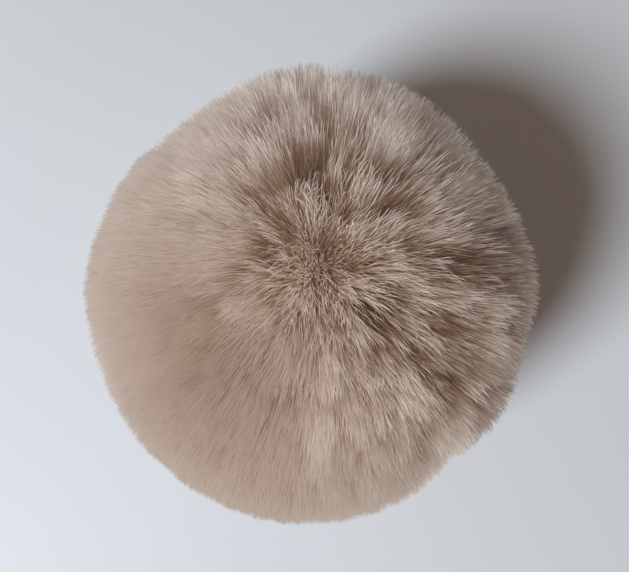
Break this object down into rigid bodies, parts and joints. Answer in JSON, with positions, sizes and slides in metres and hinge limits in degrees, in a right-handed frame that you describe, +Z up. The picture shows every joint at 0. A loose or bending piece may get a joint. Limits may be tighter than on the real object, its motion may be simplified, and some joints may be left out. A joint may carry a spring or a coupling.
{
  "type": "pom pom",
  "caption": "Round faux-fur pom pom of long, soft pile that spreads from a crown on top, for trimming hats, bags and key rings.",
  "frame": {"origin": "middle of the ground that the pom pom rests on", "axes": "+Z up through the crown of the pile; +Y towards the side where the pile parts behind the crown; +X to the right when the crown is looked at from -Y"},
  "size_m": [0.1102, 0.1108, 0.0997],
  "materials": {
    "fur": "long soft faux-fur pile, beige at the tips and dark brown at the roots"
  },
  "bodies": {
    "root": {"pompom": "fur"}
  },
  "joints": []
}
